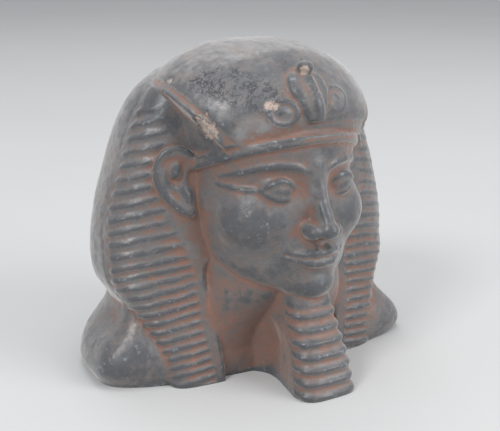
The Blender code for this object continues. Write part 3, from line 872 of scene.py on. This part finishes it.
# How much of each mark a region of the bust has: dust of red earth, a paler tone that also holds painted
# light and shade, ridges evened out by wear or kept from darkening under the painted highlight, and painted
# glints. What is negative keeps dust off, or darkens.
DUSTY = {
    "throat": 1.35,
    "lappets": 0.65,
    "beard": 0.45,
    "above_band": 0.5,
    "forehead": 0.2,
    "fold": 1.0,
    "snake": 0.15,
    "near_ear": 0.45,
    "stain": 1.2,
    "far_shoulder": 1.0,
    "inner_hood": 1.1,
    "band_front": 0.6,
    # Painted shade: the side under the fold's overhanging edge is kept grey, without red dust.
    "shaded_facet": -1.3,
    "wing": -0.1,
}
TONE_AND_PAINTED_LIGHT = {
    # Painted light: the dome's top is made paler, as light from above and its sheen make it look.
    "dome": 0.7,
    "rim": 0.45,
    "shoulder": 0.2,
    # Darker face: partly its own dark polish, partly painted shade on its upright sides, turned from the
    # light above.
    "face": -1.0,
    # Painted shade: the side under the fold's overhanging edge is darker.
    "shaded_facet": -0.6,
    "rim_side": -0.8,
    # Painted highlight: a pale patch on the dome where the light glints.
    "painted_highlight_spot": 2.0,
    "band_front": 0.5,
    "wing": 0.25,
    "snake": 0.3,
    "throat": -0.3,
}
# Under the painted highlight, the ridges are kept from darkening.
EASED = {"band_front": 1.5, "band": 0.5, "fold": 0.8, "painted_highlight_spot": 0.6}
# Painted glints: where pale flecks of highlight are painted on edges, besides those on the ridge tops.
PAINTED_GLINTS = {"rim_side": 1.0, "fold_foot": 0.9, "band_side": 0.5}

# How far the skin is evened out to find its hollows, in rounds, and the depth that counts as a full one.
FINE_ROUNDS = 12
FINE_DEEP = 0.16
BROAD_ROUNDS = 90
BROAD_DEEP = 0.9
# How much less the broad hollows count on the throat, which is one broad hollow itself.
THROAT_SHALLOWER = 0.85


def on_throat(across, y, z):
    """The throat, from under the chin and the jaw down to the chest."""
    below_chin = (1 - ramp(z, 26, 34)) * ramp(y, -50, -34)
    below_jaw = (1 - ramp(z, 36, 44)) * ramp(y, -33, -28)
    return (1 - ramp(across, 24, 30)) * np.maximum(below_chin, below_jaw) * (y < 0)


def regions(p):
    """Each region of the bust, as 1 inside it and 0 outside."""
    x, y, z = p.T
    across = np.abs(x)
    mirrored = np.stack([across, y, z], -1)
    below_hem = beyond(p, HEM_PLANE)
    inside_fold = -beyond(mirrored, FOLD_PLANE)
    band = bell(below_hem, 1.5, 1.3) * (y < -8)
    band_front = band * ramp(x, -14, -2)
    inner_hood = ramp(across, 26, 29) * (1 - ramp(across, 37, 42)) * ramp(z, 34, 42) * (1 - ramp(z, 60, 66))
    face = (across < 27) * (y < -18) * ramp(z, 32, 38) * (1 - ramp(below_hem, -8, -4))
    nose_and_mouth = blob(mirrored, (0, -45, 62), (7, 8, 16))
    return {
        "throat": on_throat(across, y, z),
        "lappets": ramp(across, 22, 26) * (1 - ramp(across, 44, 50)) * (1 - ramp(z, 28, 44)) * (y < 0),
        "beard": (across < 14) * (y < -28) * (1 - ramp(z, 26, 34)),
        "above_band": bell(below_hem, -0.5, 2.5) * (y < 5),
        "band": band,
        "band_front": band_front,
        "band_side": band - band_front,
        "forehead": bell(below_hem, 5, 4) * (y < -5) * (across < 30),
        "snake": blob(p, (0, -34, 99), (20, 8, 9)),
        "near_ear": blob(mirrored, (38, -8, 72), (9, 8, 14)),
        # Painted shade on the side that lies under the fold's overhanging edge.
        "shaded_facet": (1 - ramp(inside_fold, -0.8, 0)) * ramp(inside_fold, -10, -7) * ramp(z, 77, 85) * (y < 5),
        "fold": bell(inside_fold, 1.3, 1.3) * (y < 8) * (below_hem < -1),
        # Painted glints by the fold's foot, next to the painted highlight.
        "fold_foot": blob(p, (-18, -34, 90.5), (7, 5, 4)),
        "wing": ramp(z, 40, 48) * (across > 30) * (inside_fold < 0) * (y < 7),
        "inner_hood": inner_hood * (y < -6) * (y > -24),
        "rim": ramp(y, 1, 7) * (z > 30) * (across > 25),
        "rim_side": bell(y - rim_line(z), -2.6, 2.2) * (across > 40) * ramp(z, 34, 42),
        # Painted light: the dome's top, made paler as light from above would make it.
        "dome": ramp(z, 92, 104) * (inside_fold > 0),
        # A painted highlight: the pale patch on the dome by the fold's foot, where the light glints.
        "painted_highlight_spot": blob(p, (-18.5, -33, 92), (9, 7, 5.5)),
        "stain": blob(p, *STAIN),
        "shoulder": ramp(across, 42, 50) * (1 - ramp(z, 30, 36)),
        "far_shoulder": ramp(x, 42, 50) * (1 - ramp(z, 26, 34)),
        # The face is made darker: partly its own dark polish, partly painted shade on its upright sides.
        "face": face * (1 - nose_and_mouth),
    }


def weighed(found, shares):
    """The regions found, added up by their shares."""
    return sum(share * found[name] for name, share in shares.items())


def wear_marks(mesh):
    """Marks for the material: hollows and ridges, red dust, pale and dark places, chips and scratches."""
    p, n = places(mesh), normals(mesh)
    joined = neighbours(mesh)
    near = relaxed(p.copy(), joined, FINE_ROUNDS)
    wide = relaxed(near.copy(), joined, BROAD_ROUNDS)
    fine = ((near - p) * n).sum(1)
    broad = ((wide - p) * n).sum(1)
    found = regions(p)
    mark(mesh, "dusty", np.clip(weighed(found, DUSTY), -1.5, 1.5))
    mark(mesh, "hollow", np.clip(fine / FINE_DEEP + weighed(found, EASED), -1, 1))
    mark(mesh, "deep", np.clip(broad / BROAD_DEEP, -1, 1) * (1 - THROAT_SHALLOWER * found["throat"]))
    mark(mesh, "painted_glints", np.clip(weighed(found, PAINTED_GLINTS), 0, 1))
    mark(mesh, "tone", np.clip(weighed(found, TONE_AND_PAINTED_LIGHT), -1, 1))
    mark(mesh, "shoulder", found["shoulder"])
    chips = [inside_chip(p, at, reach) for at, reach, _ in CHIPS]
    mark(mesh, "chipped", np.max(chips, axis=0))
    outside = strand(p, SCRATCHED, SCRATCHED_REACH) + uneven(p, SCRATCHED_EDGES)
    mark(mesh, "scratched", 1 - ramp(outside, -2, 2.5))


def put(tree, kind, inputs=None, **settings):
    """Adds a node. Its inputs are plain values or other nodes' outputs, by name or number."""
    made = tree.nodes.new("ShaderNode" + kind)
    for name, value in settings.items():
        setattr(made, name, value)
    for name, value in (inputs or {}).items():
        if isinstance(value, bpy.types.NodeSocket):
            tree.links.new(value, made.inputs[name])
        else:
            made.inputs[name].default_value = value
    return made


def times(tree, a, b):
    """The product of two numbers in the material."""
    return put(tree, "Math", {0: a, 1: b}, operation="MULTIPLY").outputs[0]


def total(tree, first, *others):
    """The sum of numbers in the material."""
    for other in others:
        first = put(tree, "Math", {0: first, 1: other}).outputs[0]
    return first


def off_centre(tree, noise):
    """A noise that runs from 0 to 1, moved to lie evenly about 0."""
    return total(tree, noise, -0.5)


def between(tree, value, low, high):
    """0 where the value is under low, 1 where it is over high, smooth in between."""
    wanted = {"Value": value, "From Min": low, "From Max": high}
    return put(tree, "MapRange", wanted, interpolation_type="SMOOTHSTEP").outputs[0]


def over(tree, share, under, upper):
    """One colour laid over another by its share."""
    mixer = put(tree, "Mix", {0: share, 6: under, 7: upper}, data_type="RGBA")
    return mixer.outputs[2]


def cloud(tree, where, name):
    """A soft noise from 0 to 1, by its name in CLOUDS."""
    per_metre, detail, roughness = CLOUDS[name]
    wanted = {"Vector": where, "Scale": per_metre, "Detail": detail, "Roughness": roughness}
    return put(tree, "TexNoise", wanted).outputs[0]


def marked(tree, name):
    """A mark that the mesh carries."""
    return put(tree, "Attribute", attribute_name=name).outputs["Fac"]


def squeezed(tree, where, scale):
    return put(tree, "Mapping", {"Vector": where, "Scale": scale}).outputs[0]


# Soft noises: how many bumps to a metre, how many finer layers, and how strong those are.
CLOUDS = {
    "broad": (60, 4, 0.55),
    "patchy": (170, 5, 0.6),
    "speck": (900, 4, 0.65),
    "fine": (2600, 3, 0.6),
    "glint_flecks": (420, 5, 0.7),
    "polish": (300, 4, 0.55),
    "streaks": (700, 3, 0.55),
    "breaks": (260, 4, 0.7),
    "floor": (3, 3, 0.55),
}
STREAK_SQUEEZE = (1, 1, 0.12)

# How far the scratches wander, in metres, and over how many bends to a metre.
WANDER = (0.0014, 0.0014, 0.0014)
WANDER_SCALE = 240
# The three sets of lines that cross in the scratches: how many to a metre, and how they are squeezed.
CRACKS = ((560, (0.25, 1.3, 0.6)), (520, (1.4, 0.3, 1.0)), (640, (0.6, 0.4, 1.6)))

DARK_GREY = (0.052, 0.056, 0.064, 1)
MIDDLE_GREY = (0.116, 0.113, 0.115, 1)
PALE_GREY = (0.205, 0.198, 0.198, 1)
BROWN = (0.150, 0.112, 0.098, 1)
RED_OXIDE = (0.195, 0.100, 0.072, 1)
ORANGE_EARTH = (0.270, 0.115, 0.068, 1)
INK = (0.016, 0.019, 0.028, 1)
# A pale bluish grey for painted glints, the flecks of highlight on ridge tops and edges.
PAINTED_GLINT = (0.260, 0.290, 0.320, 1)
PALE_DUST = (0.320, 0.290, 0.270, 1)
CREAM = (0.420, 0.340, 0.290, 1)

# The skin's gloss: its roughness where it is most and least polished, its sheen and its fine bumps.
ROUGHNESS = (0.3, 0.52)
REFRACTION = 1.5
SHEEN = 0.6
SHEEN_ROUGHNESS = 0.4
SHEEN_TINT = (0.9, 0.88, 0.86, 1)
BUMP_STRENGTH = 0.45
BUMP_DEEP = 0.0003


def wash(tree, noise):
    """The dark wash: greys that change from place to place, and a warmer brown in patches."""
    # The tone mark holds painted light and shade as well as real tone: a paler dome top, a painted
    # highlight, a darker face and painted shade under the fold's edge.
    lightness = total(tree, marked(tree, "tone"), times(tree, off_centre(tree, noise["broad"]), 2.4))
    lightness = total(tree, lightness, times(tree, off_centre(tree, noise["speck"]), 1.4))
    colour = over(tree, between(tree, lightness, -0.9, 0.1), DARK_GREY, MIDDLE_GREY)
    colour = over(tree, between(tree, lightness, 0.0, 1.1), colour, PALE_GREY)
    warm = times(tree, between(tree, noise["patchy"], 0.45, 0.62), 0.5)
    return over(tree, warm, colour, BROWN)


def red_earth(tree, noise, colour):
    """Brown, red and orange earth where the skin lies low or is dusty. Also gives the red's share."""
    low = total(tree, marked(tree, "hollow"), times(tree, marked(tree, "deep"), 0.5))
    low = total(tree, low, times(tree, off_centre(tree, noise["speck"]), 1.5))
    low = total(tree, low, times(tree, off_centre(tree, noise["patchy"]), 2.0))
    low = total(tree, low, times(tree, marked(tree, "dusty"), 0.8))
    colour = over(tree, times(tree, between(tree, low, -0.1, 0.8), 0.6), colour, BROWN)
    broken_up = total(tree, times(tree, between(tree, noise["speck"], 0.36, 0.6), 0.5), 0.45)
    reddened = times(tree, between(tree, low, 0.4, 1.4), broken_up)
    colour = over(tree, reddened, colour, RED_OXIDE)
    bright = times(tree, between(tree, low, 1.3, 2.1), between(tree, noise["patchy"], 0.5, 0.62))
    return over(tree, times(tree, bright, 0.35), colour, ORANGE_EARTH), reddened


def dark_ridges_and_painted_glints(tree, noise, colour):
    """Dark ridges, and painted glints: pale flecks of highlight painted on the ridge tops and on the marked
    edges.
    """
    hollow = marked(tree, "hollow")
    high = total(tree, hollow, times(tree, off_centre(tree, noise["patchy"]), 1.5))
    high = total(tree, high, times(tree, marked(tree, "dusty"), 0.2))
    colour = over(tree, times(tree, between(tree, high, -0.15, -0.75), 0.7), colour, DARK_GREY)
    # Painted glints: pale highlight flecks, scattered by noise, on the ridge tops and the marked edges.
    glint_flecks = between(tree, noise["glint_flecks"], 0.56, 0.66)
    proud = total(tree, between(tree, hollow, -0.45, -0.9), times(tree, marked(tree, "painted_glints"), 0.8))
    return over(tree, times(tree, times(tree, proud, glint_flecks), 0.5), colour, PAINTED_GLINT)


def scratches(tree, where, noise, colour):
    """The patch of dark scratches on the dome. Also gives the scratches' lines."""
    scratched = marked(tree, "scratched")
    shift = put(tree, "TexNoise", {"Vector": where, "Scale": WANDER_SCALE}).outputs[1]
    shift = put(tree, "VectorMath", {0: shift, 1: WANDER}, operation="MULTIPLY").outputs[0]
    warped = put(tree, "VectorMath", {0: where, 1: shift}, operation="ADD").outputs[0]
    inked = times(tree, scratched, crackle(tree, warped, noise["breaks"]))
    colour = over(tree, times(tree, scratched, 0.5), colour, MIDDLE_GREY)
    return over(tree, times(tree, inked, 0.9), colour, INK), inked


def dust_and_chips(tree, noise, colour):
    """Dark streaks down the shoulders, specks of pale dust, and crumbly cream plaster in the chips."""
    streaked = times(tree, between(tree, noise["streaks"], 0.5, 0.7), marked(tree, "shoulder"))
    colour = over(tree, times(tree, streaked, 0.45), colour, DARK_GREY)
    colour = over(tree, times(tree, between(tree, noise["fine"], 0.54, 0.74), 0.2), colour, PALE_DUST)
    crumbs = times(tree, between(tree, noise["speck"], 0.46, 0.66), 0.8)
    return over(tree, marked(tree, "chipped"), colour, over(tree, crumbs, CREAM, BROWN))


def worn_plaster():
    """Dark wash on the high places, red earth in the hollows, cream plaster in the chips."""
    material = bpy.data.materials.new("worn_dark_plaster")
    material.use_nodes = True
    tree = material.node_tree
    surface = tree.nodes["Principled BSDF"]
    where = put(tree, "TexCoord").outputs["Object"]
    names = ("broad", "patchy", "speck", "fine", "glint_flecks", "polish", "breaks")
    noise = {name: cloud(tree, where, name) for name in names}
    noise["streaks"] = cloud(tree, squeezed(tree, where, STREAK_SQUEEZE), "streaks")

    colour = wash(tree, noise)
    colour, reddened = red_earth(tree, noise, colour)
    colour = dark_ridges_and_painted_glints(tree, noise, colour)
    colour, inked = scratches(tree, where, noise, colour)
    colour = dust_and_chips(tree, noise, colour)
    tree.links.new(colour, surface.inputs["Base Color"])

    polish = between(tree, noise["polish"], 0.4, 0.65)
    least, most = ROUGHNESS
    rough = put(tree, "MapRange", {"Value": polish, "To Min": least, "To Max": most}).outputs[0]
    rough = total(tree, rough, times(tree, reddened, 0.2), times(tree, marked(tree, "chipped"), 0.4))
    tree.links.new(rough, surface.inputs["Roughness"])
    surface.inputs["IOR"].default_value = REFRACTION
    surface.inputs["Sheen Weight"].default_value = SHEEN
    surface.inputs["Sheen Roughness"].default_value = SHEEN_ROUGHNESS
    surface.inputs["Sheen Tint"].default_value = SHEEN_TINT

    height = total(tree, times(tree, noise["speck"], 0.7), times(tree, noise["fine"], 0.3))
    height = total(tree, height, times(tree, noise["patchy"], 1.2), times(tree, inked, -0.5))
    bump = put(tree, "Bump", {"Height": height, "Strength": BUMP_STRENGTH, "Distance": BUMP_DEEP})
    tree.links.new(bump.outputs[0], surface.inputs["Normal"])
    return material


def crackle(tree, warped, breaks):
    """Short crossing lines, broken up so that no cell closes."""
    lines = 0.0
    for per_metre, squeeze in CRACKS:
        wanted = {"Vector": squeezed(tree, warped, squeeze), "Scale": per_metre}
        edge = put(tree, "TexVoronoi", wanted, feature="DISTANCE_TO_EDGE").outputs["Distance"]
        line = put(tree, "Math", {0: lines, 1: between(tree, edge, 0.1, 0.03)}, operation="MAXIMUM")
        lines = line.outputs[0]
    return times(tree, lines, between(tree, breaks, 0.42, 0.54))


# Half the floor's side in metres, its roughness and its two tones.
FLOOR_REACH = 6
FLOOR_ROUGHNESS = 0.9
FLOOR_DARK = (0.50, 0.50, 0.50, 1)
FLOOR_PALE = (0.54, 0.54, 0.535, 1)


def floor():
    """A plain pale floor that runs out past the view, with a little unevenness of tone."""
    bm = bmesh.new()
    bmesh.ops.create_grid(bm, x_segments=2, y_segments=2, size=FLOOR_REACH)
    mesh = bpy.data.meshes.new("studio_floor")
    bm.to_mesh(mesh)
    bm.free()
    made = bpy.data.objects.new("studio_floor", mesh)
    bpy.context.scene.collection.objects.link(made)
    material = bpy.data.materials.new("pale_floor")
    material.use_nodes = True
    tree = material.node_tree
    surface = tree.nodes["Principled BSDF"]
    tone = cloud(tree, put(tree, "TexCoord").outputs["Object"], "floor")
    colour = over(tree, tone, FLOOR_DARK, FLOOR_PALE)
    tree.links.new(colour, surface.inputs["Base Color"])
    surface.inputs["Roughness"].default_value = FLOOR_ROUGHNESS
    made.data.materials.append(material)


def direction(azimuth, elevation):
    """The unit vector towards a place seen at that azimuth and elevation, in degrees."""
    a, e = math.radians(azimuth), math.radians(elevation)
    return Vector((math.sin(a) * math.cos(e), -math.cos(a) * math.cos(e), math.sin(e)))


def aim(thing, target, azimuth, elevation, distance):
    """Stands the camera or a lamp off from its target, facing it."""
    towards = direction(azimuth, elevation)
    thing.location = target + towards * distance
    thing.rotation_mode = "QUATERNION"
    thing.rotation_quaternion = towards.to_track_quat("Z", "Y")


# The camera looks a little down on the bust, from the viewer's left of its face. Places are in metres,
# turns in degrees, and the lens and the sensor in millimetres.
CAMERA_AZIMUTH = -31.5
CAMERA_ELEVATION = 14.7
CAMERA_DISTANCE = 0.350
CAMERA_TARGET = Vector((-0.0026, 0, 0.0538))
CAMERA_LENS = 67.79
SENSOR = 36
CLIP_START = 0.01

# The softboxes: the way to each in degrees, its distance and size in metres, and its watts.
SOFTBOXES = {
    "key": (-65, 40, 1.6, 0.4, 12),
    "fill": (35, 28, 1.6, 1.0, 14),
    "top": (0, 80, 1.6, 0.8, 6),
    "behind": (165, 60, 2.4, 1.0, 8),
}
LIT_CENTRE = Vector((0, 0, 0.06))
SKY = (0.80, 0.82, 0.85, 1)
SKY_STRENGTH = 0.8


def camera():
    lens = bpy.data.cameras.new("camera")
    lens.sensor_width = SENSOR
    lens.lens = CAMERA_LENS
    lens.clip_start = CLIP_START
    made = bpy.data.objects.new("camera", lens)
    bpy.context.scene.collection.objects.link(made)
    aim(made, CAMERA_TARGET, CAMERA_AZIMUTH, CAMERA_ELEVATION, CAMERA_DISTANCE)
    bpy.context.scene.camera = made


def softbox(name, azimuth, elevation, distance, size, watts):
    lamp = bpy.data.lights.new(name, "AREA")
    lamp.size = size
    lamp.energy = watts
    made = bpy.data.objects.new(name, lamp)
    bpy.context.scene.collection.objects.link(made)
    aim(made, LIT_CENTRE, azimuth, elevation, distance)


def studio():
    """Even daylight from all sides, and four softboxes."""
    world = bpy.data.worlds.new("studio")
    bpy.context.scene.world = world
    world.use_nodes = True
    sky = world.node_tree.nodes["Background"]
    sky.inputs["Color"].default_value = SKY
    sky.inputs["Strength"].default_value = SKY_STRENGTH
    for name, settings in SOFTBOXES.items():
        softbox(name, *settings)
    bpy.context.scene.view_settings.view_transform = "Standard"


def carved_blocks():
    """Every block of the carving, in one collection."""
    blocks = blocks_collection()
    sculpt("head", HEAD_CENTRE, HEAD_REACH, head_distance, FINENESS["head"], blocks)
    cap("crown", 0, FOLD_PLANE, True, blocks)
    cap("temples", FOLD_STEP, TEMPLE_PLANE, False, blocks)
    hood(blocks)
    shoulders(blocks)
    throat(blocks)
    beard(blocks)
    band(blocks)
    cobra(blocks)
    for side in (-1, 1):
        ear(side, blocks)
    return blocks


def main():
    for old in [o for o in bpy.data.objects if o.type in ("CAMERA", "LIGHT") or o.name == "Cube"]:
        bpy.data.objects.remove(old)
    blocks = carved_blocks()
    bust = fine_mesh(blocks)
    for part in list(blocks.objects):
        bpy.data.objects.remove(part)
    bpy.data.collections.remove(blocks)
    wear_marks(bust.data)
    bust.data.materials.clear()
    bust.data.materials.append(worn_plaster())
    bust.data.shade_smooth()
    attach(bust, "root")
    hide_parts("pharaoh_bust")
    floor()
    studio()
    camera()


main()
